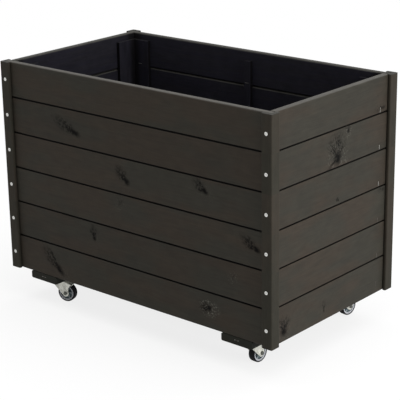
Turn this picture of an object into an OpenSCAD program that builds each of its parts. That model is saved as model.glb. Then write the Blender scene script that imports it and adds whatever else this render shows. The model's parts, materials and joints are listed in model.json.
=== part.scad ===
// Rolling planter: a timber box of tongue-and-groove boards on four swivel casters.
// Lengths are in millimetres. X runs along the long walls, the front is -Y, Z is up,
// and the origin is on the ground below the middle of the box.

/* [Box] */
// Length of the box over its boards
box_len = 860; // [600:5:1200]
// Width of the box over its boards
box_wid = 480; // [380:5:700]
// Boards stacked in each wall
boards_high = 6; // [3:1:6]

/* [Boards] */
// Height that one board adds to the wall
board_pitch = 94; // [70:1:140]
// Thickness of a board
board_thick = 18; // [16:0.5:28]
// Open joint between the faces of two boards
joint_gap = 3; // [1:0.5:4]
// Rounding of a board's edges at the joints
board_round = 3; // [1:0.5:4]
// Rounding of the rim's edges
rim_round = 4; // [1:0.5:6]
// Thickness of the tongue
tongue_thick = 6; // [4:0.5:8]
// Depth of the tongue in its groove
tongue_depth = 5; // [3:0.5:8]
// Clearance beside the tongue
tongue_clear = 0.3; // [0.1:0.1:0.6]

/* [Corner trims] */
// Width of a corner trim's arm on a long wall
trim_arm = 30; // [24:1:50]
// Lap of a corner trim's other arm over the short wall's boards
trim_lap = 2; // [1:0.5:20]
// Thickness of a corner trim
trim_thick = 10; // [8:0.5:15]
// Rounding of a corner trim's edges
trim_round = 3; // [0.5:0.5:4]

/* [Battens] */
// Width of the battens at the ends of the walls
end_batten_wid = 60; // [40:1:90]
// Width of the batten in the middle of a long wall
mid_batten_wid = 20; // [18:1:50]
// Thickness of the battens
batten_thick = 10; // [8:0.5:16]
// Distance from the rim down to the end battens
end_batten_drop = 17; // [5:1:50]
// Distance from the rim down to the middle battens
mid_batten_drop = 25; // [5:1:50]

/* [Floor and bearers] */
// Boards in the floor
floor_count = 5; // [3:1:8]
// Thickness of the floor boards
floor_thick = 18; // [12:0.5:28]
// Drainage gap between floor boards
floor_gap = 5; // [2:0.5:10]
// Clearance between the floor and the walls
floor_clear = 2; // [1:0.5:5]
// Width of a bearer
bearer_wid = 94; // [80:1:140]
// Thickness of a bearer
bearer_thick = 20; // [18:0.5:30]
// Distance from the end of the box to the middle of a bearer
bearer_inset = 102; // [80:1:160]
// Rounding of a bearer's long edges
bearer_round = 4; // [0.5:0.5:5]

/* [Screws and staples] */
// Radius of a screw's head
screw_head_r = 4.5; // [3:0.1:5]
// Radius of a screw's shank
screw_r = 2; // [1.5:0.05:2.5]
// Length of a corner screw
corner_screw_len = 45; // [40:1:60]
// Distance from the short walls' faces in to the corner screws
corner_screw_in = 6; // [5:0.5:12]
// Length of the screws that hold a bearer to the walls
bearer_screw_len = 70; // [50:1:90]
// Half the distance between the two screws at a bearer's end
bearer_screw_x = 32; // [20:1:36]
// Length of a caster's screws
caster_screw_len = 16; // [10:1:17]
// Width of a staple's crown
staple_wid = 12; // [8:0.5:14]
// Length of a staple's legs
staple_len = 25; // [20:0.5:26]
// Thickness of the staple wire
staple_wire = 1.2; // [0.8:0.1:1.6]
// Distance from a short wall's batten edge to its staples
staple_edge = 21; // [8:1:30]
// Height of a staple above the lower edge of its board
staple_rise = 8; // [8:1:30]

/* [Caster plates] */
// Distance from the long wall's face to a swivel axis
caster_inset = 55; // [40:1:90]
// Distance between the screw holes of a plate
plate_holes = 45; // [43:0.5:56]
// Distance from the holes to the plate's edge
plate_edge = 7.5; // [5:0.5:12]
// Radius of the screw holes of a plate
plate_hole_r = 2.75; // [2.5:0.05:3.5]
// Thickness of the plate
plate_thick = 2.5; // [2:0.1:4]
// Outer radius of the race under the plate
race_r = 20; // [19:0.5:24]
// Radius of the king pin
king_pin_r = 4; // [3:0.1:5]
// Radius of a bearing ball
ball_r = 2; // [1.5:0.1:2.5]
// Balls in each swivel
ball_count = 12; // [8:1:16]

/* [Forks and wheels] */
// Radius of the wheels
wheel_r = 25; // [20:0.5:32]
// Width of the tyres
tyre_wid = 18; // [16:0.5:26]
// Thickness of the rubber round the wheel centre
tyre_thick = 3.5; // [2:0.5:9]
// Distance between a tyre and the fork's legs
tyre_clear = 1.5; // [1:0.5:4]
// Distance from the swivel axis to the axle
trail = 24; // [20:0.5:30]
// Height of the fork's crown above the top of the wheel
crown_rise = 10; // [8:0.5:16]
// Thickness of the fork's sheet
fork_sheet = 2; // [2:0.1:3]
// Radius of the leg's end round the axle
leg_end_r = 9.5; // [6:0.5:11]
// Radius of the axle
axle_r = 3; // [2.5:0.1:4]
// Turn of the front left caster
front_left_turn = 16; // [0:1:360]
// Turn of the front right caster
front_right_turn = 87; // [0:1:360]
// Turn of the back right caster
back_right_turn = 82; // [0:1:360]
// Turn of the back left caster
back_left_turn = 40; // [0:1:360]

/* [Hidden] */
$fn = 64;
fit = 0.05;             // clearance of a shank or an axle in its hole
swivel_gap = 0.35;      // clearance between the pieces that turn against each other
cut = 1;                // what a cutter runs past the piece, and shapes of one piece share
bite = 0.02;            // how far a straight edge runs into the arc that it meets
hex_sides = 6;

// Swivel of a caster, from the wheel up
crown_z = 2 * wheel_r + crown_rise;     // top of the fork's crown
track_top = crown_z + 2.1;              // the fork's ball track
ball_z = track_top + swivel_gap + ball_r;
plate_z = ball_z + ball_r + fit;
caster_height = plate_z + plate_thick;
plate_side = plate_holes + 2 * plate_edge;
plate_corner = 5;       // rounding of the plate's corners
race_deep = 5;          // how far the race hangs below the plate
race_wall = 2;
track_r = race_r - race_wall - 1;
track_wid = 5;
crown_r = race_r + 1;
king_head_r = 7;
king_head_high = 2.4;
king_seat_deep = 1.5;   // upper head of the king pin, let into the plate

// Fork: x runs from the swivel axis to the axle, y along the axle
leg_y = tyre_wid / 2 + tyre_clear;
leg_out = leg_y + fork_sheet;
leg_back = 19;          // back corner of the legs, behind the swivel axis
leg_back_high = 4;
hood_bend = trail / 2;
hood_x = trail + 18;    // end of the hood over the wheel
hood_drop = 10;
axle_at = [trail, wheel_r];
scoop_r = 16;           // round cut under the hood
neck_in = 1.5;          // how far the leg narrows above its round end
neck_high = 9;          // height of its narrowest place above the axle
scoop_at = axle_at + [leg_end_r + scoop_r - neck_in, neck_high];
panel = 0.8;            // how far the pressed panel of a leg stands out
panel_r = leg_end_r - 1.5;
panel_x = [-6, 8];      // upper corners of the panel
panel_drop = 5;
axle_out = leg_out + panel;

// Wheels
rim_r = wheel_r - tyre_thick;
rim_band = 4;           // width of the rim's ring
rim_half = tyre_wid / 2 - 1.5;
web_half = 2;
hub_half = leg_y - swivel_gap;
hub_r = axle_r + 3.5;
spokes = 6;
spoke_wid = 4.5;
spoke_half = rim_half - 2;
tread_round = min(3, tyre_thick - 0.5);
bolt_head_r = axle_r + 2;
bolt_head_high = 3;
nut_high = 4.5;
axle_tail = 1.5;        // end of the axle beyond its nut

// Heights of the box
face_high = board_pitch - joint_gap;
wall_high = boards_high * board_pitch - joint_gap;
bearer_z = caster_height;
wall_z = bearer_z + bearer_thick;
rim_z = wall_z + wall_high;
floor_top = wall_z + floor_thick;

// Half sizes of the box, outside and inside its boards
out_x = box_len / 2;
out_y = box_wid / 2;
in_x = out_x - board_thick;
in_y = out_y - board_thick;

// The trims' arms on the short walls cover the ends of the long boards too
trim_end_arm = trim_thick + board_thick + trim_lap;

// Floor, bearers and casters
bearer_x = out_x - bearer_inset;
caster_y = out_y - caster_inset;
floor_wid = (2 * in_y - 2 * floor_clear - (floor_count - 1) * floor_gap) / floor_count;
floor_round = 1;

// Screws and staples
head_deep = 2.2;        // depth of a countersunk head
tip_len = 4;            // length of a screw's point
tip_r = 0.25;
slot_wid = 0.9;         // cross recess in a head
slot_deep = 1.6;
pan_head_high = 2.5;    // head of a caster screw
pan_head_r = 4.5;
pan_top_r = 3.6;
staple_proud = 0.25;    // how far a crown stands out of the wood
bearer_staple_z = bearer_z + 12;
corner_screw_x = out_x - corner_screw_in;

CORNERS = ["front_left", "front_right", "back_right", "back_left"];
SIDE_X = [-1, 1, 1, -1];
SIDE_Y = [-1, -1, 1, 1];
TURN = [front_left_turn, front_right_turn, back_right_turn, back_left_turn];
WALLS = ["front", "back", "left", "right"];
CASTER_PIECES = ["caster_plate", "caster_fork", "caster_axle", "wheel_centre", "tyre"];

// ---- Plain shapes ----

// Rectangle with its lower and upper corners rounded
module rounded_rect(w, h, low_r, high_r) {
    for (x = [0, 1]) {
        translate([low_r + x * (w - 2 * low_r), low_r]) circle(low_r);
        translate([high_r + x * (w - 2 * high_r), h - high_r]) circle(high_r);
    }
    translate([0, low_r]) square([w, h - low_r - high_r]);
    translate([low_r, 0]) square([w - 2 * low_r, h / 2]);
    translate([high_r, h / 2]) square([w - 2 * high_r, h / 2]);
}

// Lays a profile (x across, y up) along X, its left side to the front
module along_x(length) {
    translate([-length / 2, 0, 0]) rotate([90, 0, 90]) linear_extrude(length) children();
}

module along_y(length) {
    translate([0, length / 2, 0]) rotate([90, 0, 0]) linear_extrude(length) children();
}

// Point where a line from p touches the circle of radius r round c; side is -1 or 1
function tangent(p, c, r, side) = c + r * heading(bearing(c, p) + side * acos(r / norm(p - c)));
function bearing(c, p) = atan2(p.y - c.y, p.x - c.x);
function heading(a) = [cos(a), sin(a)];

// ---- Fasteners: heads at the origin, shanks along +Z ----

module cross_recess(length) {
    for (a = [0, 90])
        rotate([0, 0, a]) translate([-length / 2, -slot_wid / 2, -cut])
            cube([length, slot_wid, slot_deep + cut]);
}

module countersunk_screw(length) {
    difference() {
        union() {
            cylinder(r1 = screw_head_r, r2 = screw_r, h = head_deep);
            cylinder(r = screw_r, h = length - tip_len);
            translate([0, 0, length - tip_len]) cylinder(r1 = screw_r, r2 = tip_r, h = tip_len);
        }
        cross_recess(1.2 * screw_head_r);
    }
}

module countersunk_hole(length) {
    cylinder(r1 = screw_head_r, r2 = screw_r, h = head_deep);
    translate([0, 0, -cut]) cylinder(r = screw_head_r, h = cut);
    screw_hole(length);
}

module screw_hole(length) {
    cylinder(r = screw_r + fit, h = length + fit);
}

module pan_screw(length) {
    difference() {
        union() {
            translate([0, 0, -pan_head_high]) cylinder(r1 = pan_top_r, r2 = pan_head_r, h = pan_head_high);
            cylinder(r = screw_r, h = length - tip_len);
            translate([0, 0, length - tip_len]) cylinder(r1 = screw_r, r2 = tip_r, h = tip_len);
        }
        translate([0, 0, -pan_head_high]) cross_recess(1.3 * pan_top_r);
    }
}

// A staple with its crown along X and its legs along +Z
module staple(grow = 0) {
    w = staple_wire;
    translate([-staple_wid / 2, -w / 2, -staple_proud - grow * cut]) cube([staple_wid, w, w + grow * cut]);
    for (s = [-1, 1])
        translate([s * (staple_wid - w) / 2 - w / 2, -w / 2, -staple_proud]) cube([w, w, staple_len]);
}

// ---- Places ----

function board_z(i) = wall_z + (i - 1) * board_pitch;
function screw_z(i) = board_z(i) + face_high / 2;
// The lowest staples clear the floor
function staple_z(i) = board_z(i) + staple_rise + (i == 1 ? floor_thick : 0);
// Rows of staples that pierce board i: its own, and the next board's, which may meet its tongue
function staple_rows(i) = [i : min(i + 1, boards_high)];

// Screws of the corners at board i, on the long walls' faces
module at_corner_screws(rows) {
    for (i = rows) for (sx = [-1, 1]) for (sy = [-1, 1])
        translate([sx * corner_screw_x, sy * (out_y + trim_thick), screw_z(i)])
            rotate([sy * 90, 0, 0]) children();
}

// Staples of the long walls' battens, driven from inside the box
module at_long_staples(rows) {
    for (i = rows) for (sy = [-1, 1]) for (x = [-1, 0, 1])
        translate([x * (in_x - end_batten_wid / 2), sy * (in_y - batten_thick), staple_z(i)])
            rotate([-sy * 90, 0, 0]) children();
}

// Staples of the short walls' battens with an upright crown, driven from inside the box at the front ends
// and from outside at the back ends
module at_short_staples(rows) {
    for (i = rows) for (sx = [-1, 1]) {
        along = in_y - batten_thick - staple_edge;
        translate([sx * (in_x - batten_thick), -along, staple_z(i)]) rotate([0, sx * 90, 0]) children();
        translate([sx * out_x, along, staple_z(i)]) rotate([0, -sx * 90, 0]) children();
    }
}

// Staples in the ends of the bearers
module at_bearer_staples() {
    for (sx = [-1, 1]) for (sy = [-1, 1])
        translate([sx * bearer_x, sy * out_y, bearer_staple_z]) rotate([sy * 90, 0, 0]) children();
}

module at_bearer_screws() {
    for (sx = [-1, 1]) for (sy = [-1, 1]) for (s = [-1, 1])
        translate([sx * bearer_x + s * bearer_screw_x, sy * (out_y - board_thick / 2), bearer_z]) children();
}

module at_caster_screws() {
    for (i = [0:3]) at_plate(i) for (x = [-1, 1]) for (y = [-1, 1])
        translate([x * plate_holes / 2, y * plate_holes / 2, plate_z]) children();
}

// Swivel axis of caster i, square with the box
module at_plate(i) {
    translate([SIDE_X[i] * bearer_x, SIDE_Y[i] * caster_y, 0]) children();
}

// Swivel axis of caster i, turned so that the wheel trails along X
module at_fork(i) {
    at_plate(i) rotate([0, 0, TURN[i]]) children();
}

// Middle of the wheel of caster i, its axle along Z
module at_wheel(i) {
    at_fork(i) translate([trail, 0, wheel_r]) rotate([90, 0, 0]) children();
}

// ---- Walls ----

module board_profile(i) {
    low_r = board_round;
    high_r = i == boards_high ? rim_round : board_round;
    mid = board_thick / 2;
    groove = tongue_thick / 2 + tongue_clear;
    difference() {
        union() {
            rounded_rect(board_thick, face_high, low_r, high_r);
            if (i < boards_high)
                translate([mid - tongue_thick / 2, face_high - cut])
                    square([tongue_thick, cut + joint_gap + tongue_depth]);
        }
        if (i > 1) translate([mid - groove, -cut]) square([2 * groove, tongue_depth + cut]);
    }
}

// Board i of the front (side -1) or back (side 1) wall
module long_board(side, i) {
    color("#322e2a") difference() {
        translate([0, side * (out_y - board_thick / 2) - board_thick / 2, board_z(i)])
            along_x(box_len) board_profile(i);
        at_corner_screws([i]) screw_hole(corner_screw_len);
        at_long_staples(staple_rows(i)) staple();
        if (i == 1) at_bearer_screws() screw_hole(bearer_screw_len);
    }
}

// Board i of the left (side -1) or right (side 1) wall
module short_board(side, i) {
    color("#48443f") difference() {
        translate([side * (out_x - board_thick / 2) - board_thick / 2, 0, board_z(i)])
            along_y(2 * in_y) board_profile(i);
        at_corner_screws([i]) screw_hole(corner_screw_len);
        at_short_staples(staple_rows(i)) staple(grow = 1);
    }
}

module l_profile() {
    rounded_rect(trim_arm, trim_thick, trim_round, trim_round);
    rounded_rect(trim_thick, trim_end_arm, trim_round, trim_round);
}

module corner_trim(i) {
    color("#2d2b27") difference() {
        mirror([SIDE_X[i] > 0 ? 1 : 0, 0, 0]) mirror([0, SIDE_Y[i] > 0 ? 1 : 0, 0])
            translate([-out_x - trim_thick, -out_y - trim_thick, wall_z])
                linear_extrude(wall_high) l_profile();
        at_corner_screws([1:boards_high]) countersunk_hole(corner_screw_len);
    }
}

// ---- Inside the box ----

module batten(width, drop) {
    translate([-width / 2, 0, floor_top]) cube([width, batten_thick, rim_z - drop - floor_top]);
}

module long_wall_battens(side) {
    color("#1d1c21") difference() {
        translate([0, side * (in_y - batten_thick / 2) - batten_thick / 2, 0]) {
            for (s = [-1, 1])
                translate([s * (in_x - end_batten_wid / 2), 0, 0]) batten(end_batten_wid, end_batten_drop);
            batten(mid_batten_wid, mid_batten_drop);
        }
        at_long_staples([1:boards_high]) staple(grow = 1);
    }
}

module short_wall_battens(side) {
    color("#212025") difference() {
        for (s = [-1, 1])
            translate([side * in_x, s * (in_y - batten_thick - end_batten_wid / 2), 0])
                rotate([0, 0, side * 90]) batten(end_batten_wid, end_batten_drop);
        at_short_staples([1:boards_high]) staple(grow = 1);
    }
}

module floor_boards() {
    color("#1c1b1f") for (i = [0:floor_count - 1])
        translate([0, -in_y + floor_clear + i * (floor_wid + floor_gap), wall_z])
            along_x(2 * (in_x - floor_clear)) rounded_rect(floor_wid, floor_thick, floor_round, floor_round);
}

module bearer(side) {
    color("#2e2d28") difference() {
        translate([side * bearer_x - bearer_wid / 2, 0, bearer_z])
            along_y(box_wid) rounded_rect(bearer_wid, bearer_thick, bearer_round, bearer_round);
        at_bearer_screws() countersunk_hole(bearer_screw_len);
        at_caster_screws() screw_hole(caster_screw_len);
        at_bearer_staples() staple(grow = 1);
    }
}

// ---- Casters ----

module caster_plate(i) {
    corner = -plate_side / 2;
    color("#b9bab2") at_plate(i) difference() {
        union() {
            translate([corner, corner, plate_z]) linear_extrude(plate_thick)
                rounded_rect(plate_side, plate_side, plate_corner, plate_corner);
            difference() {
                translate([0, 0, plate_z - race_deep]) cylinder(r = race_r, h = race_deep + cut);
                translate([0, 0, plate_z - race_deep - cut])
                    cylinder(r = race_r - race_wall, h = race_deep + cut);
            }
        }
        for (x = [-1, 1]) for (y = [-1, 1])
            translate([x * plate_holes / 2, y * plate_holes / 2, plate_z - cut])
                cylinder(r = plate_hole_r, h = plate_thick + 2 * cut);
        translate([0, 0, plate_z - cut]) cylinder(r = king_pin_r, h = plate_thick + 2 * cut);
        translate([0, 0, caster_height - king_seat_deep])
            cylinder(r = king_head_r, h = king_seat_deep + cut);
    }
}

// King pin riveted through the plate, and the ring of balls round it
module swivel_bearing() {
    foot = crown_z - fork_sheet - swivel_gap - king_head_high;
    translate([0, 0, foot]) cylinder(r = king_pin_r, h = caster_height - foot);
    translate([0, 0, caster_height - king_seat_deep]) cylinder(r = king_head_r, h = king_seat_deep);
    translate([0, 0, foot]) cylinder(r1 = king_pin_r + cut, r2 = king_head_r, h = king_head_high);
    for (i = [1:ball_count])
        rotate([0, 0, i * 360 / ball_count])
            translate([track_r - track_wid / 2, 0, ball_z]) sphere(ball_r);
}

// Side view of a leg: x along the trail, y up
module leg_outline() {
    back = [-leg_back, crown_z - leg_back_high];
    hood_end = [hood_x, crown_z - hood_drop];
    // The straight neck touches the scoop on one side and the leg's round end on the other
    span = scoop_at - axle_at;
    neck = heading(bearing([0, 0], span) - acos((scoop_r + leg_end_r) / norm(span)));
    difference() {
        union() {
            polygon([
                [-leg_back, crown_z], [hood_bend, crown_z], hood_end, hood_end - [0, fork_sheet],
                scoop_at, scoop_at - (scoop_r - bite) * neck, axle_at + (leg_end_r - bite) * neck, axle_at,
                tangent(back, axle_at, leg_end_r - bite, 1), back
            ]);
            translate(axle_at) circle(leg_end_r);
        }
        translate(scoop_at) circle(scoop_r);
        translate(axle_at) circle(axle_r + fit);
    }
}

// Pressed panel that stands out of a leg and carries the axle
module panel_outline() {
    top = crown_z - panel_drop;
    left = [panel_x[0], top];
    right = [panel_x[1], top];
    difference() {
        union() {
            polygon([
                left, right, tangent(right, axle_at, panel_r - bite, -1), axle_at,
                tangent(left, axle_at, panel_r - bite, 1)
            ]);
            translate(axle_at) circle(panel_r);
        }
        translate(axle_at) circle(axle_r + fit);
    }
}

// Sheet that joins the legs over the wheel
module hood_outline() {
    bend = [hood_bend, crown_z];
    end = [hood_x, crown_z - hood_drop];
    down = [0, fork_sheet];
    polygon([[0, crown_z], bend, end, end - down, bend - down, [0, crown_z] - down]);
}

module caster_fork(i) {
    color("#b3b5ab") at_fork(i) difference() {
        union() {
            translate([0, 0, crown_z - fork_sheet]) cylinder(r = crown_r, h = fork_sheet);
            difference() {
                translate([0, 0, crown_z - cut]) cylinder(r = track_r, h = track_top - crown_z + cut);
                translate([0, 0, crown_z]) cylinder(r = track_r - track_wid, h = track_top - crown_z + cut);
            }
            along_y(2 * leg_out) hood_outline();
            for (s = [-1, 1]) {
                translate([0, s * (leg_out - fork_sheet / 2), 0]) along_y(fork_sheet) leg_outline();
                translate([0, s * (axle_out - fork_sheet / 2), 0]) along_y(fork_sheet) panel_outline();
            }
        }
        translate([0, 0, crown_z - fork_sheet - cut])
            cylinder(r = king_pin_r + fit, h = fork_sheet + 2 * cut);
    }
}

// Bolt with its head at one end of the axle and its nut at the other
module caster_axle(i) {
    tail = axle_out + nut_high + axle_tail;
    color("#8f918c") at_wheel(i) {
        translate([0, 0, -tail]) cylinder(r = axle_r, h = tail + axle_out + cut);
        translate([0, 0, axle_out]) cylinder(r = bolt_head_r, h = bolt_head_high, $fn = hex_sides);
        difference() {
            translate([0, 0, -axle_out - nut_high]) cylinder(r = bolt_head_r, h = nut_high, $fn = hex_sides);
            translate([0, 0, -axle_out - nut_high - cut]) cylinder(r = axle_r + fit, h = nut_high + 2 * cut);
        }
    }
}

module wheel_centre(i) {
    color("#83838a") at_wheel(i) difference() {
        union() {
            translate([0, 0, -hub_half]) cylinder(r = hub_r, h = 2 * hub_half);
            translate([0, 0, -web_half]) cylinder(r = rim_r - cut, h = 2 * web_half);
            difference() {
                translate([0, 0, -rim_half]) cylinder(r = rim_r, h = 2 * rim_half);
                translate([0, 0, -rim_half - cut]) cylinder(r = rim_r - rim_band, h = 2 * (rim_half + cut));
            }
            for (i = [0:spokes - 1])
                rotate([0, 0, i * 360 / spokes])
                    translate([hub_r - cut, -spoke_wid / 2, -spoke_half])
                        cube([rim_r - rim_band - hub_r + 2 * cut, spoke_wid, 2 * spoke_half]);
        }
        translate([0, 0, -hub_half - cut]) cylinder(r = axle_r + fit, h = 2 * (hub_half + cut));
    }
}

module tyre(i) {
    half = tyre_wid / 2;
    color("#1b1b1e") at_wheel(i) rotate_extrude() intersection() {
        translate([0, -half]) rounded_rect(wheel_r, tyre_wid, tread_round, tread_round);
        translate([rim_r, -half]) square([tyre_thick, tyre_wid]);
    }
}

// ---- Groups of fasteners ----

module corner_screws() {
    color("#c9cac6") at_corner_screws([1:boards_high]) countersunk_screw(corner_screw_len);
}

module bearer_screws() {
    color("#c9cac6") at_bearer_screws() countersunk_screw(bearer_screw_len);
}

module caster_screws() {
    color("#c9cac6") at_caster_screws() pan_screw(caster_screw_len);
}

module staples() {
    color("#a8a8a4") {
        at_long_staples([1:boards_high]) staple();
        at_short_staples([1:boards_high]) staple();
        at_bearer_staples() staple();
    }
}

// ---- Assembly ----

for (i = [1:boards_high]) {
    long_board(-1, i);
    long_board(1, i);
    short_board(-1, i);
    short_board(1, i);
}
for (i = [0:3]) {
    corner_trim(i);
    caster_plate(i);
    caster_fork(i);
    caster_axle(i);
    wheel_centre(i);
    tyre(i);
}
long_wall_battens(-1);  // front_wall_battens
long_wall_battens(1);  // back_wall_battens
short_wall_battens(-1);  // left_wall_battens
short_wall_battens(1);  // right_wall_battens
floor_boards();
bearer(-1);  // left_bearer
bearer(1);  // right_bearer
union() {  // swivel_bearings
    color("#9a9b96") for (i = [0:3]) at_plate(i) swivel_bearing();
}
corner_screws();
bearer_screws();
caster_screws();
staples();
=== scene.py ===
"""Rolling planter: the finish of a timber box on four swivel casters, and the studio round it."""

import json
import math

import bmesh
import bpy
from bpy.props import FloatProperty, FloatVectorProperty, PointerProperty
from mathutils import Matrix, Vector


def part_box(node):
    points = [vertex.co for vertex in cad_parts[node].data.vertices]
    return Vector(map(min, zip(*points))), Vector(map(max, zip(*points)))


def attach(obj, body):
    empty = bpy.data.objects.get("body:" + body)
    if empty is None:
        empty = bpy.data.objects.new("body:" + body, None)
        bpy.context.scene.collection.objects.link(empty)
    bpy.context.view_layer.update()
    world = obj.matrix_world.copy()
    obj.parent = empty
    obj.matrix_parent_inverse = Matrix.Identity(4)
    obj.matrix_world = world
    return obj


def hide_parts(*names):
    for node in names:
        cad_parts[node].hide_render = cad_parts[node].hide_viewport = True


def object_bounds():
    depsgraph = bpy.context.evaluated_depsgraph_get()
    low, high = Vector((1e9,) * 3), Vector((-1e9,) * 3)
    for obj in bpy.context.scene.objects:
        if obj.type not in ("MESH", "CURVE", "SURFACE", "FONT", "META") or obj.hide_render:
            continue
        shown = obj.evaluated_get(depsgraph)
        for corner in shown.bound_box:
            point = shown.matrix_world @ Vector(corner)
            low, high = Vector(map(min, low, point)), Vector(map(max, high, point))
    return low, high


bl_info = {
    "name": "Rolling planter",
    "version": (1, 0, 0),
    "blender": (4, 5, 0),
    "location": "3D View > Sidebar > Planter",
    "description": "Finishes a stained timber planter on casters and lights it",
    "category": "Object",
}

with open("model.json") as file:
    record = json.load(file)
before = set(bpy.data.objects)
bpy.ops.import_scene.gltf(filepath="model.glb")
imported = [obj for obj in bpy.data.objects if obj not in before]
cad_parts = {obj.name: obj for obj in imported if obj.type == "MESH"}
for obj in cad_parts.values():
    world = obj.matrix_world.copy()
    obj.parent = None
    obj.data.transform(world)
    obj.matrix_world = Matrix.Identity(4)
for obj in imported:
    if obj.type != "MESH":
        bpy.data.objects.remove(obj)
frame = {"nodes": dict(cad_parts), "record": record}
CAD_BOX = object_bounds()

MM = 0.001
OTHER_BOARD = 10.0  # more than any distance in a knot's half sizes that matters

# Easing of sharp edges: vertices closer than this are one, faces closer to flat than this are one,
# edges sharper than this are eased, and edges sharper than this stay sharp in the shading
WELD = 1e-6
FLAT = math.radians(1.0)
EASED_FROM = math.radians(28)
SHARP_FROM = math.radians(50)

# The studio: floor in metres, its paint as light falls on it and as it is seen, its glow, and the lamps
FLOOR_SIZE = 40.0
FLOOR_DROP = 0.1 * MM
FLOOR_BOUNCE, FLOOR_PAINT = (0.45, 0.45, 0.45, 1.0), (0.9, 0.9, 0.9, 1.0)
FLOOR_GLOW = 0.82
WHITE = (1.0, 1.0, 1.0, 1.0)
KEY_PLACE, KEY_SIZE = (2.8, -0.2, 1.0), 1.6
SKY_SPREAD = math.radians(75)
SKY_TILT = (math.radians(-4), math.radians(9), 0.0)
SENSOR_WIDTH = 36.0

BOX = "planter_box"
WALLS = ("front", "back", "left", "right")
CORNERS = ("front_left", "front_right", "back_right", "back_left")
BOARDS_HIGH = sum(name.startswith("front_board_") for name in frame["nodes"])

# Heights and half sizes of the box, from its lowest boards
LOW_FRONT, LOW_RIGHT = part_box("front_board_1"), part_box("right_board_1")
OUT_X = LOW_RIGHT[1].x
OUT_Y = -LOW_FRONT[0].y
WALL_Z = LOW_FRONT[0].z
RIM_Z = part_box("front_board_6")[1].z
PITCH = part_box("front_board_2")[0].z - WALL_Z
BOARD_THICK = LOW_FRONT[1].y - LOW_FRONT[0].y
BEARER_X = (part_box("right_bearer")[0].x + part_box("right_bearer")[1].x) / 2
IN_X, IN_Y = OUT_X - BOARD_THICK, OUT_Y - BOARD_THICK
BATTEN_X, BATTEN_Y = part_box("right_wall_battens")[0].x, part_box("back_wall_battens")[0].y

# Where the stain, the painted shade and the painted highlights lie on the timber, as the distances at which
# a mask starts and ends
JOINT_STAIN = (0.4 * MM, 1.2 * MM)  # behind the outer faces of the long walls and of the short ones
JOINT_FADE = 1.3 * MM
INSIDE_FACE = (4 * MM, 2 * MM)  # out from the boards' inner faces
INNER_SHOULDER = (7.5 * MM, 6.5 * MM)
INNER_EDGE_HIGHLIGHT = (6.5 * MM, 4.5 * MM)  # down from the top of a board's pitch
RIM_WEAR_AND_SHEEN = (2.2 * MM, 0.4 * MM)
TRIM_CONTACT_SHADE = (5 * MM, 1 * MM)  # out from the boards that a trim covers
BATTEN_SIDE_SHADE = (0.8 * MM, 2 * MM)
UPRIGHT_CORNER_SHADE = (-36 * MM, -16 * MM)  # in from both inner faces
GRAIN_RELIEF = 0.12 * MM
METAL_RELIEF = 0.02 * MM

# Crown of a staple in a bearer, from its middle, and a wheel's recess, from its middle plane
CROWN_CORNERS = (3.8 * MM, 4.6 * MM)
WHEEL_RECESS = (7.0 * MM, 4.6 * MM)

# Knots of each wall. A cut through a branch shows a dark heart and a fan of checks to one side. Millimetres
# along the wall and above its foot, reach of the fan, half its width, its direction in degrees,
# depth of the stain in it, pale resin, and how far the fan is split into blades
FRONT_KNOTS = (
    (-188, 412, 82, 21, 159, 1.2, 0.0, 0.8),
    (-14, 318, 50, 20, 135, 1.3, 0.0, 0.7),
    (-133, 145, 36, 17, 95, 1.1, 0.1, 0.7),
    (-266, 28, 84, 24, 138, 1.2, 0.15, 0.9),
    (388, 234, 54, 19, 150, 1.3, 0.0, 0.8),
    (236, 343, 42, 19, 147, 1.2, 0.1, 0.9),
    (246, 52, 32, 24, 175, 1.1, 1.0, 1.0),
    (318, 148, 18, 15, 90, 0.3, 0.3, 1.0),
    (-38, 256, 30, 18, 80, 0.35, 0.15, 1.0),
)
RIGHT_KNOTS = (
    (15, 398, 62, 44, 100, 1.3, 0.35, 1.0),
    (12, 399, 46, 15, 216, 0.9, 0.0, 0.0),
    (57, 455, 22, 15, 100, 1.0, 0.45, 0.9),
    (204, 482, 42, 12, 180, 0.8, 0.1, 0.5),
    (-191, 26, 42, 30, 95, 1.2, 0.15, 1.0),
    (-31, 27, 26, 10, 100, 0.8, 0.0, 0.5),
    (22, 292, 12, 8, 150, 1.3, 0.0, 0.0),
    (212, 272, 30, 16, 150, 0.7, 0.0, 0.6),
)
BACK_KNOTS = (
    (255, 520, 50, 18, 150, 0.9, 0.0, 0.9),
    (-120, 425, 56, 22, 40, 0.95, 0.2, 0.9),
    (70, 330, 30, 14, 120, 0.7, 0.0, 0.8),
    (-310, 236, 52, 20, 30, 0.95, 0.0, 0.8),
    (180, 140, 34, 20, 100, 0.8, 0.4, 1.0),
    (-60, 40, 30, 16, 160, 0.7, 0.0, 0.7),
    (350, 45, 44, 20, 135, 0.9, 0.1, 0.9),
)
LEFT_KNOTS = (
    (-110, 515, 36, 16, 140, 0.8, 0.0, 0.8),
    (90, 330, 54, 26, 100, 0.95, 0.3, 1.0),
    (-40, 235, 24, 13, 60, 0.7, 0.0, 0.8),
    (130, 50, 40, 20, 120, 0.9, 0.1, 0.9),
)


def linear(colour):
    """Turns an sRGB hex colour into linear red, green, blue and alpha."""
    parts = [int(colour[i : i + 2], 16) / 255 for i in (0, 2, 4)]
    return (*(c / 12.92 if c <= 0.04045 else ((c + 0.055) / 1.055) ** 2.4 for c in parts), 1.0)


def colour_of(looks, name):
    return (*getattr(looks, name), 1.0)


def colour_property(name, description, colour):
    return FloatVectorProperty(
        name=name,
        description=description,
        default=linear(colour)[:3],
        subtype="COLOR",
        size=3,
        min=0.0,
        max=1.0,
    )


def angle_property(name, description, degrees):
    default = math.radians(degrees)
    return FloatProperty(name=name, description=description, default=default, subtype="ANGLE")


def length_property(name, description, metres):
    return FloatProperty(name=name, description=description, default=metres, unit="LENGTH")


def level_property(name, description, level, **limits):
    return FloatProperty(name=name, description=description, default=level, **limits)


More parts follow.
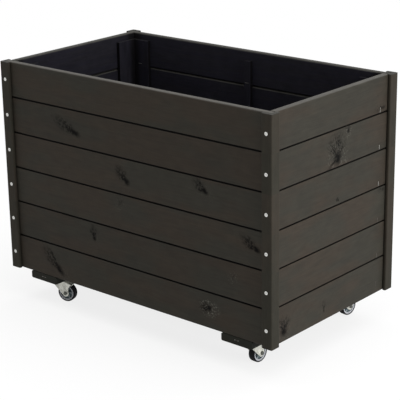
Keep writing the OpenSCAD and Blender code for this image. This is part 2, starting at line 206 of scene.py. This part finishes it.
class PlanterTimberLooks(bpy.types.PropertyGroup):
    """Colours of the stained timber."""

    outside: colour_property("Outside", "Stain on the boards' outer faces", "38322b")
    outside_cool: colour_property("Outside, cool", "Cooler patches of the same stain", "34322c")
    trims: colour_property("Corner trims", "Stain on the corner trims", "332e27")
    trims_cool: colour_property("Corner trims, cool", "Cooler patches on the trims", "2f2d26")
    # The bearers are drawn darker than the walls
    bearers: colour_property("Bearers", "Stain on the bearers, two coats deep", "201f19")
    bearers_cool: colour_property("Bearers, cool", "Cooler patches on the bearers", "1c1e18")
    # The inside colours are the outer stain drawn darker and bluer: painted shade inside the box, with a
    # painted bluish reflection of the sky
    inside: colour_property("Inside", "Stain inside the box", "201f25")
    inside_cool: colour_property("Inside, cool", "Bluer patches inside the box", "1b1a22")
    # The joints' colour also serves as painted shade along the trims' edges, on the battens' sides and in
    # the upright corners inside
    joints: colour_property("Joints", "Stain pooled in the joints between boards", "040303")
    # The rim colours are paler than the stain: partly stain worn thin on the top edges, partly a painted
    # sheen for light glancing off them. This brighter one is a painted highlight on the front and right rims
    rim: colour_property("Rim", "Stain rubbed thin along the front and right rims", "514f4b")
    # The dimmer rim colour: worn stain and painted sheen on the back and left rims and the trims' ends, and
    # a painted highlight on the boards' upper inner edges
    rim_dull: colour_property("Rim, dull", "Stain on the back and left rims and the trims' ends", "353430")
    knots: colour_property("Knots", "Stain soaked into knots", "080706")
    resin: colour_property("Resin", "Pale specks in and round knots", "6a6861")


class PlanterHardwareLooks(bpy.types.PropertyGroup):
    """Colours of the casters and fasteners."""

    zinc: colour_property("Zinc", "Plating of forks and plates", "ecece2")
    # The axle bolts are drawn darker than the zinc: painted shade on the bolt heads
    bolt: colour_property("Axle bolts", "Dull plating of axle bolts and nuts", "62645e")
    screw: colour_property("Screws", "Bright plating of screws and balls", "e4e4e0")
    staple: colour_property("Staples", "Staple wire", "b0afa9")
    plastic: colour_property("Wheel centres", "Moulded plastic of the wheels", "c8cad0")
    recess: colour_property("Wheel recesses", "Shaded, dusty recesses of the wheels", "6b7b7e")
    rubber: colour_property("Tyres", "Rubber of the tyres", "0f0f12")


class PlanterStage(bpy.types.PropertyGroup):
    """Camera and light."""

    azimuth: angle_property("Azimuth", "Camera round the box", 40.84)
    elevation: angle_property("Elevation", "Camera above the floor", 18.44)
    roll: angle_property("Roll", "Camera turned about its view", -0.93)
    distance: length_property("Distance", "Camera to the middle of the box", 3.595)
    aside: length_property("Aside", "Camera moved to its right", 0.0109)
    raised: length_property("Raised", "Camera moved up", -0.0245)
    lens: level_property("Lens", "Focal length in millimetres", 126.0, min=20.0, max=300.0)
    key_power: level_property("Key lamp", "Lamp to the right of the box", 46.0, min=0.0, unit="POWER")
    top_light: level_property("Top light", "Wide soft light from above", 2.6, min=0.0)
    room: level_property("Room", "Plain light from all sides", 0.28, min=0.0, max=2.0)


# ---- Materials ----


def add(tree, kind, values=(), out=0, **settings):
    """Adds a shader node with its settings, fills its inputs with values or links, and returns one output.
    A Mix node's inputs are 0 for the share, 2 and 3 for numbers, 4 and 5 for vectors, 6 and 7 for
    colours."""
    made = tree.nodes.new("ShaderNode" + kind)
    for name, value in settings.items():
        setattr(made, name, value)
    for key, value in dict(values).items():
        if isinstance(value, bpy.types.NodeSocket):
            tree.links.new(value, made.inputs[key])
        else:
            made.inputs[key].default_value = value
    return made.outputs[out]


def blank(name):
    """A material with no nodes, its tree, and the object coordinates."""
    made = bpy.data.materials.new(name)
    made.use_nodes = True
    made.node_tree.nodes.clear()
    return made, made.node_tree, add(made.node_tree, "TexCoord", out="Object")


def clouds(tree, place, size, detail, rough=0.5, out=0):
    """Noise with features of this many millimetres, the same in every direction."""
    values = {"Vector": place, "Scale": 1 / (size * MM), "Detail": detail, "Roughness": rough}
    return add(tree, "TexNoise", values, out)


def cover(tree, values, height=None, depth=0.0):
    """Ends a tree with the surface shader; height, from 0 to 1, stands depth metres high."""
    if height is not None:
        bump = add(tree, "Bump", {"Height": height, "Distance": depth, "Strength": 1.0})
        values = {**values, "Normal": bump}
    shader = add(tree, "BsdfPrincipled", values)
    add_output(tree, shader)


def add_output(tree, shader):
    made = tree.nodes.new("ShaderNodeOutputMaterial")
    tree.links.new(shader, made.inputs["Surface"])


def grain_scale(run, along, across):
    """Scale of a pattern with features of these millimetres along and across the grain, which runs on
    axis run."""
    return tuple(1 / ((along if axis == run else across) * MM) for axis in range(3))


def nearest_knot(tree, place, run, row, knots):
    """The nearest knot on the same board: its own coordinates, the distance in its half sizes, and its
    traits (depth of the stain, resin, blades)."""
    best = None
    for along, high, reach, wide, lean, *traits in knots:
        centre, half, turn = [0.0, 0.0, WALL_Z + high * MM], [1e3, 1e3, wide * MM], [0.0, 0.0, 0.0]
        centre[run] = along * MM
        half[run] = reach * MM
        turn[1 - run] = math.radians(-lean if run == 0 else lean)
        values = {"Vector": place, "Location": centre, "Rotation": turn, "Scale": half}
        here = add(tree, "Mapping", values, vector_type="TEXTURE")
        far = add(tree, "VectorMath", {0: here}, "Value", operation="LENGTH")
        mine = add(tree, "Math", {0: row, 1: math.floor(high * MM / PITCH), 2: 0.5}, operation="COMPARE")
        far = add(tree, "Math", {0: mine, 1: -OTHER_BOARD, 2: far}, operation="MULTIPLY_ADD")
        if best is None:
            best, own, kind = far, here, tuple(traits)
            continue
        closer = add(tree, "Math", {0: far, 1: best}, operation="LESS_THAN")
        own = add(tree, "Mix", {0: closer, 4: own, 5: here}, 1, data_type="VECTOR")
        kind = add(tree, "Mix", {0: closer, 4: kind, 5: tuple(traits)}, 1, data_type="VECTOR")
        best = add(tree, "Math", {0: far, 1: best}, operation="MINIMUM")
    return own, add(tree, "Math", {0: best, 1: OTHER_BOARD}), kind


def ramp(tree, value, start, end, low=0.0, high=1.0):
    """Eases from low at start to high at end."""
    values = {"Value": value, 1: start, 2: end, 3: low, 4: high}
    return add(tree, "MapRange", values, interpolation_type="SMOOTHSTEP")


def grain(tree, timber, run, along, across, detail):
    """Noise drawn out along the grain, in millimetres."""
    place = add(tree, "Mapping", {"Vector": timber, "Scale": grain_scale(run, along, across)})
    return add(tree, "TexNoise", {"Vector": place, "Scale": 1.0, "Detail": detail, "Roughness": 0.6})


def knot_masks(tree, place, run, row, knots):
    """Where knots darken the timber, where resin pales it, and how far the nearest one turns the rings
    aside."""
    # The fibres wander 5 mm to each side, so that no fan is even
    wander = clouds(tree, place, 16, 3.0, out="Color")
    values = {0: wander, 1: (10 * MM,) * 3, 2: (-5 * MM,) * 3}
    wander = add(tree, "VectorMath", values, operation="MULTIPLY_ADD")
    bent = add(tree, "VectorMath", {0: place, 1: wander}, operation="ADD")
    own, distance, kind = nearest_knot(tree, bent, run, row, knots)
    traits = add(tree, "SeparateXYZ", {0: kind}).node.outputs
    ray = add(tree, "VectorMath", {0: own}, operation="NORMALIZE")
    sector = ramp(tree, add(tree, "SeparateXYZ", {0: ray}, run), 0.1, 0.75)
    turned = add(tree, "VectorMath", {0: ray, 1: (9.0, 9.0, 9.0), 2: kind}, operation="MULTIPLY_ADD")
    blades = add(tree, "TexNoise", {"Vector": turned, "Scale": 1.0, "Detail": 2.0, "Roughness": 0.7})
    blades = add(tree, "Mix", {0: traits[2], 2: 0.8, 3: ramp(tree, blades, 0.4, 0.54, 0.12, 1.0)})
    flecks = clouds(tree, place, 7, 4.0, 0.75)
    # Solid near the heart, broken up into flecks towards its end
    fan = add(tree, "MapRange", {"Value": distance, 1: 1.15, 2: 0.15, 3: 0.0, 4: 1.25})
    fan = add(tree, "Math", {0: fan, 1: sector}, operation="MULTIPLY")
    fan = add(tree, "Math", {0: fan, 1: blades}, operation="MULTIPLY")
    fan = add(tree, "Math", {0: fan, 1: ramp(tree, flecks, 0.38, 0.58, 0.1, 1.25)}, operation="MULTIPLY")
    # The heart is a soft drop, a little way into the fan
    heart = [0.0, 0.0, 1 / 0.5]
    heart[run] = 1 / 0.3
    heart = add(tree, "VectorMath", {0: own, 1: heart}, operation="MULTIPLY")
    heart = ramp(tree, add(tree, "VectorMath", {0: heart}, "Value", operation="LENGTH"), 1.2, 0.1, 0.0, 0.9)
    heart = add(tree, "Math", {0: heart, 1: ramp(tree, flecks, 0.3, 0.5, 0.45, 1.0)}, operation="MULTIPLY")
    dark = add(tree, "Math", {0: fan, 1: heart}, operation="MAXIMUM")
    dark = add(tree, "Math", {0: dark, 1: traits[0]}, operation="MULTIPLY", use_clamp=True)
    specks = clouds(tree, place, 4, 3.0)
    resin = ramp(tree, distance, 1.2, 0.6)
    resin = add(tree, "Math", {0: resin, 1: ramp(tree, specks, 0.5, 0.66)}, operation="MULTIPLY")
    resin = add(tree, "Math", {0: resin, 1: traits[1]}, operation="MULTIPLY", use_clamp=True)
    return dark, resin, ramp(tree, distance, 1.9, 0.0, 0.0, 2.2)


def past(tree, place, x, y, operation):
    """How far a place lies outside an upright rectangle of half sizes x and y round the middle of the box,
    by its farther side (MAXIMUM) or its nearer one (MINIMUM)."""
    apart = add(tree, "VectorMath", {0: place}, operation="ABSOLUTE")
    sides = add(tree, "VectorMath", {0: apart, 1: (x, y, 0.0)}, operation="SUBTRACT")
    sides = add(tree, "SeparateXYZ", {0: sides}).node.outputs
    return add(tree, "Math", {0: sides[0], 1: sides[1]}, operation=operation)


def wall_masks(tree, place, run, rows):
    """How deep a place lies in a joint between boards, whether it faces the inside of the box, and where
    a painted highlight lies along the boards' upper inner edges there."""
    apart = add(tree, "VectorMath", {0: place}, operation="ABSOLUTE")
    apart = add(tree, "SeparateXYZ", {0: apart}, 1 - run)
    # The long walls' joints are drawn dark out to their rounded edges, the short walls' less far
    half, start = (OUT_Y, OUT_X)[run], JOINT_STAIN[run]
    pooled = ramp(tree, apart, half - start, half - start - JOINT_FADE)
    inner = ramp(tree, apart, *(half - BOARD_THICK + out for out in INSIDE_FACE))
    shoulder = ramp(tree, apart, *(half - BOARD_THICK + out for out in INNER_SHOULDER))
    up = add(tree, "Math", {0: rows}, operation="FRACT")
    shoulder_highlight = ramp(tree, up, *(1 - down / PITCH for down in INNER_EDGE_HIGHLIGHT), 0.0, 0.8)
    return pooled, inner, add(tree, "Math", {0: shoulder_highlight, 1: shoulder}, operation="MULTIPLY")


def blend(tree, share, first, second):
    """Mixes two colours."""
    return add(tree, "Mix", {0: share, 6: first, 7: second}, 2, data_type="RGBA")


def stained_pine(name, looks, run, stain, number, knots=(), kind="", rim="rim_dull"):
    """Planed pine under a black-brown stain. The stain hides nearly all of the figure: what shows are faint
    streaks along the grain, slow patches from warm to cool, knots soaked darker with fine radial checks, and
    a thin matt film. stain and rim name colours, number sets the timber apart, and kind is wall, trim,
    batten or nothing."""
    made, tree, place = blank(name)
    height = add(tree, "SeparateXYZ", {0: place}, "Z")
    rows = add(tree, "Math", {0: height, 1: 1 / PITCH, 2: -WALL_Z / PITCH}, operation="MULTIPLY_ADD")
    row = add(tree, "Math", {0: rows}, operation="FLOOR")
    # Each board is its own piece of timber
    luck = add(tree, "TexWhiteNoise", {"W": add(tree, "Math", {0: row, 1: number})}, noise_dimensions="1D")
    values = {0: luck.node.outputs["Color"], 1: (3.0, 3.0, 3.0), 2: place}
    timber = add(tree, "VectorMath", values, operation="MULTIPLY_ADD")
    # Growth rings cut flat: long contours 350 mm along and 45 mm across
    phase = add(tree, "Math", {0: grain(tree, timber, run, 350, 45, 1.0), 1: 11.0}, operation="MULTIPLY")
    # Fibres are 1 mm wide and less; they are drawn 2.5 mm wide, so that they show
    fibres = grain(tree, timber, run, 60, 2.5, 3.0)
    streaks = grain(tree, timber, run, 180, 8, 2.0)
    blots = grain(tree, timber, run, 34, 20, 3.0)
    patches = grain(tree, timber, run, 190, 70, 2.0)
    if knots:
        dark, resin, swirl = knot_masks(tree, place, run, row, knots)
        phase = add(tree, "Math", {0: phase, 1: swirl})
    rings = add(tree, "Math", {0: phase, 1: 0.5}, operation="PINGPONG")
    # Brightness, 1 on average: rings, streaks, fibres, blots, and a step from board to board
    shade = add(tree, "Math", {0: rings, 1: 0.16, 2: 0.235}, operation="MULTIPLY_ADD")
    for pattern, share in ((streaks, 0.5), (fibres, 0.4), (blots, 0.45), (luck, 0.1)):
        shade = add(tree, "Math", {0: pattern, 1: share, 2: shade}, operation="MULTIPLY_ADD")
    inner = 1.0 if stain == "inside" else 0.0
    warm, cool = colour_of(looks, stain), colour_of(looks, stain + "_cool")
    colour = blend(tree, ramp(tree, patches, 0.38, 0.62), warm, cool)
    if kind == "wall":
        pooled, inner, shoulder_highlight = wall_masks(tree, place, run, rows)
        colour = blend(tree, pooled, colour, colour_of(looks, "joints"))
        # Inner faces take the inside colours: painted shade and a painted bluish reflection
        warm, cool = colour_of(looks, "inside"), colour_of(looks, "inside_cool")
        within = blend(tree, ramp(tree, streaks, 0.4, 0.6), warm, cool)
        colour = blend(tree, inner, colour, within)
        # Painted highlight along the boards' upper inner edges, where light from above catches them
        colour = blend(tree, shoulder_highlight, colour, colour_of(looks, "rim_dull"))
    if kind == "trim":
        # Painted shade along the trims' edges where they meet the boards
        trim_contact_shade = ramp(tree, past(tree, place, OUT_X, OUT_Y, "MAXIMUM"), *TRIM_CONTACT_SHADE, 0.0, 0.8)
        colour = blend(tree, trim_contact_shade, colour, colour_of(looks, "joints"))
    if kind == "batten":
        # Painted shade on the battens' sides, behind their faces
        sides = ramp(tree, past(tree, place, BATTEN_X, BATTEN_Y, "MAXIMUM"), *BATTEN_SIDE_SHADE, 0.0, 0.85)
        colour = blend(tree, sides, colour, colour_of(looks, "joints"))
    if kind in ("wall", "batten"):
        # Painted shade in the upright corners of the box
        corner = ramp(tree, past(tree, place, IN_X, IN_Y, "MINIMUM"), *UPRIGHT_CORNER_SHADE, 0.0, 0.85)
        corner = add(tree, "Math", {0: corner, 1: inner}, operation="MULTIPLY")
        colour = blend(tree, corner, colour, colour_of(looks, "joints"))
        # Inside the box the streaks have twice the contrast
        depth = add(tree, "Math", {0: inner, 1: 1.0, 2: 1.0}, operation="MULTIPLY_ADD")
        shade = add(tree, "Math", {0: shade, 1: -1.0}, operation="ADD")
        shade = add(tree, "Math", {0: shade, 1: depth, 2: 1.0}, operation="MULTIPLY_ADD")
    if kind in ("wall", "trim"):
        # The rim colour along the top edges: stain worn thin, with a painted sheen
        rubbed = ramp(tree, height, *(RIM_Z - down for down in RIM_WEAR_AND_SHEEN))
        colour = blend(tree, rubbed, colour, colour_of(looks, rim))
    colour = add(tree, "VectorMath", {0: colour, 3: shade}, operation="SCALE")
    relief = add(tree, "Math", {0: fibres, 1: 0.35, 2: rings}, operation="MULTIPLY_ADD")
    rough = add(tree, "MapRange", {"Value": streaks, 1: 0.3, 2: 0.7, 3: 0.6, 4: 0.7})
    if knots:
        # Inside the box, knots and resin are drawn faint
        faint = add(tree, "Math", {0: inner, 1: -0.8, 2: 1.0}, operation="MULTIPLY_ADD")
        resin = add(tree, "Math", {0: resin, 1: faint}, operation="MULTIPLY")
        dark = add(tree, "Math", {0: dark, 1: faint}, operation="MULTIPLY")
        colour = blend(tree, resin, colour, colour_of(looks, "resin"))
        colour = blend(tree, dark, colour, colour_of(looks, "knots"))
        relief = add(tree, "Math", {0: dark, 1: -1.5, 2: relief}, operation="MULTIPLY_ADD")
        rough = add(tree, "Math", {0: dark, 1: 0.3, 2: rough}, operation="MULTIPLY_ADD")
    values = {"Base Color": colour, "Roughness": rough, "IOR": 1.45, "Specular IOR Level": 0.15}
    cover(tree, values, relief, GRAIN_RELIEF)
    return made


def stained_over(tree, place, wire, stain):
    """Staple wire and the stain that was brushed over it. The crowns on the right wall's upper boards stay
    bright; of those in the bearers' ends only the corners do; those inside the box are dull."""
    at = add(tree, "SeparateXYZ", {0: place}).node.outputs
    apart = add(tree, "Math", {0: at[0]}, operation="ABSOLUTE")
    apart = add(tree, "Math", {0: apart, 1: BEARER_X}, operation="SUBTRACT")
    corners = ramp(tree, add(tree, "Math", {0: apart}, operation="ABSOLUTE"), *CROWN_CORNERS)
    below = ramp(tree, at[2], WALL_Z, WALL_Z - 1 * MM)
    upper = ramp(tree, at[2], WALL_Z + 3.02 * PITCH, WALL_Z + 3.03 * PITCH, 0.12, 0.9)
    outer = ramp(tree, at[0], OUT_X - 4 * MM, OUT_X - 3 * MM, 0.5, 1.0)
    upper = add(tree, "Math", {0: upper, 1: outer}, operation="MULTIPLY")
    patches = clouds(tree, place, 5, 2.0)
    upper = add(tree, "Math", {0: upper, 1: ramp(tree, patches, 0.3, 0.5, 0.3, 1.0)}, operation="MULTIPLY")
    bare = add(tree, "Mix", {0: below, 2: upper, 3: corners})
    return blend(tree, bare, stain, wire)


def metal(name, colour, metallic, rough, grain_size, mottle, stain=None):
    """Steel under a thin metal coat, dulled by a chalky bloom: reflections broken by a fine grain and by
    slow mottling of the coat. With a stain, paint brushed over the wire hides part of it."""
    made, tree, place = blank(name)
    fine = clouds(tree, place, grain_size, 3.0, 0.6)
    slow = clouds(tree, place, 12, 2.0)
    shade = add(tree, "MapRange", {"Value": slow, 1: 0.35, 2: 0.65, 3: 1 - mottle, 4: 1.0})
    if stain is not None:
        colour = stained_over(tree, place, colour, stain)
    tint = add(tree, "VectorMath", {0: colour if stain else colour[:3], 3: shade}, operation="SCALE")
    gloss = add(tree, "MapRange", {"Value": fine, 1: 0.3, 2: 0.7, 3: rough - 0.06, 4: rough + 0.08})
    cover(tree, {"Base Color": tint, "Metallic": metallic, "Roughness": gloss}, fine, METAL_RELIEF)
    return made


def moulded(name, colour, rough, specular, grain_size, depth, mottle, recess=None):
    """Moulded rubber or plastic: an even colour, slightly clouded, with the fine texture of the mould. A
    recess (colour, middle, axle) gives a wheel's hollows their shaded, dusty look."""
    made, tree, place = blank(name)
    fine = clouds(tree, place, grain_size, 3.0, 0.6)
    slow = clouds(tree, place, 14, 3.0)
    shade = add(tree, "MapRange", {"Value": slow, 1: 0.35, 2: 0.65, 3: 1 - mottle, 4: 1 + mottle})
    if recess:
        dust_and_shade, middle, axle = recess
        aside = add(tree, "VectorMath", {0: place, 1: middle}, operation="SUBTRACT")
        aside = add(tree, "VectorMath", {0: aside, 1: axle}, "Value", operation="DOT_PRODUCT")
        # Painted shade with dust in the wheel's hollows, near its middle plane
        hollow = ramp(tree, add(tree, "Math", {0: aside}, operation="ABSOLUTE"), *WHEEL_RECESS)
        colour = blend(tree, hollow, colour, dust_and_shade)
    tint = add(tree, "VectorMath", {0: colour if recess else colour[:3], 3: shade}, operation="SCALE")
    gloss = add(tree, "MapRange", {"Value": slow, 1: 0.35, 2: 0.65, 3: rough - 0.05, 4: rough + 0.05})
    cover(tree, {"Base Color": tint, "Roughness": gloss, "Specular IOR Level": specular}, fine, depth)
    return made


def clothe(names, material):
    """Gives shown CAD nodes a material."""
    for name in names:
        data = frame["nodes"][name].data
        data.materials.clear()
        data.materials.append(material)


def eased(node, piece, body, width, material):
    """A copy of a CAD node with its sharp edges eased, which stands for the node."""
    bm = bmesh.new()
    bm.from_mesh(frame["nodes"][node].data)
    bmesh.ops.remove_doubles(bm, verts=bm.verts, dist=WELD)
    bmesh.ops.dissolve_limit(bm, angle_limit=FLAT, verts=bm.verts, edges=bm.edges)
    sharp = [e for e in bm.edges if e.is_manifold and e.calc_face_angle() > EASED_FROM]
    bmesh.ops.bevel(
        bm,
        geom=sharp,
        offset=width,
        offset_type="OFFSET",
        segments=2,
        profile=0.5,
        affect="EDGES",
        material=-1,
        clamp_overlap=True,
    )
    data = bpy.data.meshes.new(piece)
    bm.to_mesh(data)
    bm.free()
    data.shade_smooth()
    data.set_sharp_from_angle(angle=SHARP_FROM)
    made = bpy.data.objects.new(piece, data)
    # Wide faces keep their own normals, and only the eased edges turn between them
    made.modifiers.new("wide_faces_flat", "WEIGHTED_NORMAL").keep_sharp = True
    bpy.context.scene.collection.objects.link(made)
    data.materials.append(material)
    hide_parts(node)
    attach(made, body)
    return made


# ---- Pieces ----


class PLANTER_OT_wall_boards(bpy.types.Operator):
    """Finish the boards of the four walls"""

    bl_idname = "planter.wall_boards"
    bl_label = "Wall boards"

    def execute(self, context):
        looks = context.scene.planter_timber
        # The front and right rims take the brighter rim colour, a painted highlight where light falls on
        # them; the back and left rims take the dimmer one
        sides = (
            ("front", 0, FRONT_KNOTS, "rim"),
            ("back", 0, BACK_KNOTS, "rim_dull"),
            ("left", 1, LEFT_KNOTS, "rim_dull"),
            ("right", 1, RIGHT_KNOTS, "rim"),
        )
        for number, (wall, run, knots, rim) in enumerate(sides):
            name = f"Stained planed pine, {wall}"
            finish = stained_pine(name, looks, run, "outside", 10 * number, knots, "wall", rim)
            clothe([f"{wall}_board_{i}" for i in range(1, BOARDS_HIGH + 1)], finish)
        return {"FINISHED"}


class PLANTER_OT_corner_trims(bpy.types.Operator):
    """Ease and finish the corner trims"""

    bl_idname = "planter.corner_trims"
    bl_label = "Corner trims"

    def execute(self, context):
        looks = context.scene.planter_timber
        finish = stained_pine("Stained planed pine, trims", looks, 2, "trims", 40, kind="trim")
        for corner in CORNERS:
            eased(f"{corner}_trim", f"{corner}_trim_eased", BOX, 0.8 * MM, finish)
        return {"FINISHED"}


class PLANTER_OT_battens_and_floor(bpy.types.Operator):
    """Finish the battens and floor boards inside the box"""

    bl_idname = "planter.battens_and_floor"
    bl_label = "Battens and floor"

    def execute(self, context):
        looks = context.scene.planter_timber
        # Battens and floor take the inside colours, with their painted shade and bluish reflection
        upright = stained_pine("Stained sawn pine, battens", looks, 2, "inside", 50, kind="batten")
        lying = stained_pine("Stained sawn pine, floor", looks, 0, "inside", 60)
        for wall in WALLS:
            node, piece = f"{wall}_wall_battens", f"{wall}_battens_eased"
            eased(node, piece, BOX, 0.6 * MM, upright)
        clothe(["floor_boards"], lying)
        return {"FINISHED"}


class PLANTER_OT_bearers(bpy.types.Operator):
    """Finish the two bearers below the box"""

    bl_idname = "planter.bearers"
    bl_label = "Bearers"

    def execute(self, context):
        looks = context.scene.planter_timber
        finish = stained_pine("Stained planed pine, bearers", looks, 1, "bearers", 70)
        clothe(["left_bearer", "right_bearer"], finish)
        return {"FINISHED"}


class PLANTER_OT_caster_steel(bpy.types.Operator):
    """Ease and finish the plates, forks and axle bolts of the casters"""

    bl_idname = "planter.caster_steel"
    bl_label = "Caster plates, forks and axles"

    def execute(self, context):
        looks = context.scene.planter_hardware
        pressed, bolt = "Zinc plated pressed steel", "Dull zinc plated bolt steel"
        zinc = metal(pressed, colour_of(looks, "zinc"), metallic=0.5, rough=0.5, grain_size=0.6, mottle=0.4)
        # The darker colour of the axle bolts, in this dull material, is painted shade on their heads
        dull = metal(bolt, colour_of(looks, "bolt"), metallic=0.7, rough=0.45, grain_size=0.5, mottle=0.25)
        for corner in CORNERS:
            caster, swivel = f"{corner}_caster", f"{corner}_swivel"
            eased(f"{caster}_plate", f"{corner}_plate_pressed", BOX, 0.4 * MM, zinc)
            eased(f"{caster}_fork", f"{corner}_fork_pressed", swivel, 0.5 * MM, zinc)
            eased(f"{caster}_axle", f"{corner}_axle_bolt", swivel, 0.4 * MM, dull)
        return {"FINISHED"}


class PLANTER_OT_wheels(bpy.types.Operator):
    """Ease and finish the wheel centres and tyres"""

    bl_idname = "planter.wheels"
    bl_label = "Wheels"

    def execute(self, context):
        looks = context.scene.planter_hardware
        axles = {joint["name"]: joint["axis"] for joint in frame["record"]["behaviour"]["joints"]}
        rubber = moulded(
            "Moulded black rubber",
            colour_of(looks, "rubber"),
            rough=0.7,
            specular=0.12,
            grain_size=0.7,
            depth=0.04 * MM,
            mottle=0.15,
        )
        for corner in CORNERS:
            low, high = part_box(f"{corner}_tyre")
            recess = (colour_of(looks, "recess"), (low + high) / 2, axles[f"{corner}_wheel_spin"])
            plastic = moulded(
                f"Moulded grey plastic, {corner.replace('_', ' ')}",
                colour_of(looks, "plastic"),
                rough=0.42,
                specular=0.5,
                grain_size=0.8,
                depth=0.02 * MM,
                mottle=0.06,
                recess=recess,
            )
            wheel = f"{corner}_wheel"
            eased(f"{wheel}_centre", f"{wheel}_moulded", wheel, 0.35 * MM, plastic)
            clothe([f"{corner}_tyre"], rubber)
        return {"FINISHED"}


class PLANTER_OT_fasteners(bpy.types.Operator):
    """Finish the screws, staples and swivel balls"""

    bl_idname = "planter.fasteners"
    bl_label = "Fasteners"

    def execute(self, context):
        looks = context.scene.planter_hardware
        bright = metal(
            "Bright zinc plated screw steel",
            colour_of(looks, "screw"),
            metallic=0.6,
            rough=0.35,
            grain_size=0.4,
            mottle=0.08,
        )
        wire = metal(
            "Galvanised staple wire, partly stained",
            colour_of(looks, "staple"),
            metallic=0.4,
            rough=0.45,
            grain_size=0.4,
            mottle=0.15,
            stain=colour_of(context.scene.planter_timber, "outside"),
        )
        clothe(["corner_screws", "bearer_screws", "caster_screws", "swivel_bearings"], bright)
        clothe(["staples"], wire)
        return {"FINISHED"}


class PLANTER_OT_stage(bpy.types.Operator):
    """Make the floor, the lamps and the camera"""

    bl_idname = "planter.stage"
    bl_label = "Floor, lamps and camera"

    def execute(self, context):
        stage = context.scene.planter_stage
        centre = Vector((0.0, 0.0, CAD_BOX[1].z / 2))
        self.floor(context)
        self.room(context.scene, stage.room)
        self.lamp(context, "key_lamp", KEY_PLACE, KEY_SIZE, stage.key_power, centre)
        self.sky(context, stage.top_light)
        self.camera(context, stage, centre)
        return {"FINISHED"}

    def seen(self, tree):
        """1 where a camera, mirror or glass ray looks, and 0 for the light that falls on the object."""
        rays = add(tree, "LightPath").node.outputs
        bounced = {0: rays["Is Glossy Ray"], 1: rays["Is Transmission Ray"]}
        mirrored = add(tree, "Math", bounced, operation="MAXIMUM")
        return add(tree, "Math", {0: rays["Is Camera Ray"], 1: mirrored}, operation="MAXIMUM")

    def floor(self, context):
        bm = bmesh.new()
        bmesh.ops.create_grid(bm, x_segments=1, y_segments=1, size=FLOOR_SIZE)
        data = bpy.data.meshes.new("studio_floor")
        bm.to_mesh(data)
        bm.free()
        data.transform(Matrix.Translation((0.0, 0.0, -FLOOR_DROP)))
        floor = bpy.data.objects.new("studio_floor", data)
        context.scene.collection.objects.link(floor)
        made, tree, _ = blank("White painted floor")
        seen = self.seen(tree)
        paint = blend(tree, seen, FLOOR_BOUNCE, FLOOR_PAINT)
        lit = add(tree, "BsdfDiffuse", {"Color": paint})
        white = add(tree, "Emission", {"Color": WHITE, "Strength": 1.0})
        share = add(tree, "Math", {0: seen, 1: FLOOR_GLOW}, operation="MULTIPLY")
        add_output(tree, add(tree, "MixShader", {0: share, 1: lit, 2: white}))
        data.materials.append(made)

    def room(self, scene, strength):
        scene.world = bpy.data.worlds.new("White studio")
        scene.world.use_nodes = True
        tree = scene.world.node_tree
        tree.nodes.clear()
        level = add(tree, "Mix", {0: self.seen(tree), 2: strength, 3: 1.0}, data_type="FLOAT")
        light = add(tree, "Background", {"Color": WHITE, "Strength": level})
        tree.links.new(light, tree.nodes.new("ShaderNodeOutputWorld").inputs["Surface"])

    def lamp(self, context, name, place, size, power, target):
        data = bpy.data.lights.new(name, "AREA")
        data.shape = "SQUARE"
        data.size = size
        data.energy = power
        lamp = bpy.data.objects.new(name, data)
        lamp.location = place
        lamp.rotation_euler = (target - lamp.location).to_track_quat("-Z", "Y").to_euler()
        lamp.visible_camera = False
        context.scene.collection.objects.link(lamp)

    def sky(self, context, strength):
        """An even light from a wide patch above, which also keeps the floor equally white everywhere."""
        data = bpy.data.lights.new("top_light", "SUN")
        data.angle = SKY_SPREAD
        data.energy = strength
        light = bpy.data.objects.new("top_light", data)
        light.rotation_euler = SKY_TILT
        context.scene.collection.objects.link(light)

    def camera(self, context, stage, centre):
        back = Vector(
            (
                math.sin(stage.azimuth) * math.cos(stage.elevation),
                -math.cos(stage.azimuth) * math.cos(stage.elevation),
                math.sin(stage.elevation),
            )
        )
        level = (-back).to_track_quat("-Z", "Y").to_matrix()
        c, s = math.cos(stage.roll), math.sin(stage.roll)
        right = level @ Vector((c, s, 0.0))
        up = level @ Vector((-s, c, 0.0))
        data = bpy.data.cameras.new("camera")
        data.sensor_width = SENSOR_WIDTH
        data.lens = stage.lens
        camera = bpy.data.objects.new("camera", data)
        turned = Matrix((right, up, back)).transposed().to_4x4()
        turned.translation = centre + back * stage.distance + right * stage.aside + up * stage.raised
        camera.matrix_world = turned
        context.scene.collection.objects.link(camera)
        context.scene.camera = camera
        context.scene.view_settings.view_transform = "Standard"


OPERATORS = (
    PLANTER_OT_wall_boards,
    PLANTER_OT_corner_trims,
    PLANTER_OT_battens_and_floor,
    PLANTER_OT_bearers,
    PLANTER_OT_caster_steel,
    PLANTER_OT_wheels,
    PLANTER_OT_fasteners,
    PLANTER_OT_stage,
)
GROUPS = {
    "planter_timber": PlanterTimberLooks,
    "planter_hardware": PlanterHardwareLooks,
    "planter_stage": PlanterStage,
}


class PLANTER_PT_panel(bpy.types.Panel):
    """Colours, camera and pieces of the planter"""

    bl_idname = "PLANTER_PT_panel"
    bl_label = "Rolling planter"
    bl_space_type = "VIEW_3D"
    bl_region_type = "UI"
    bl_category = "Planter"

    def draw(self, context):
        for name, group in GROUPS.items():
            box = self.layout.box()
            for value in group.__annotations__:
                box.prop(getattr(context.scene, name), value)
        for operator in OPERATORS:
            self.layout.operator(operator.bl_idname)


def register():
    for made in (*GROUPS.values(), *OPERATORS, PLANTER_PT_panel):
        bpy.utils.register_class(made)
    for name, group in GROUPS.items():
        setattr(bpy.types.Scene, name, PointerProperty(type=group))


def unregister():
    for name in GROUPS:
        delattr(bpy.types.Scene, name)
    for made in reversed((*GROUPS.values(), *OPERATORS, PLANTER_PT_panel)):
        bpy.utils.unregister_class(made)


def main():
    register()
    for operator in OPERATORS:
        family, name = operator.bl_idname.split(".")
        getattr(getattr(bpy.ops, family), name)()


if __name__ == "__main__":
    main()
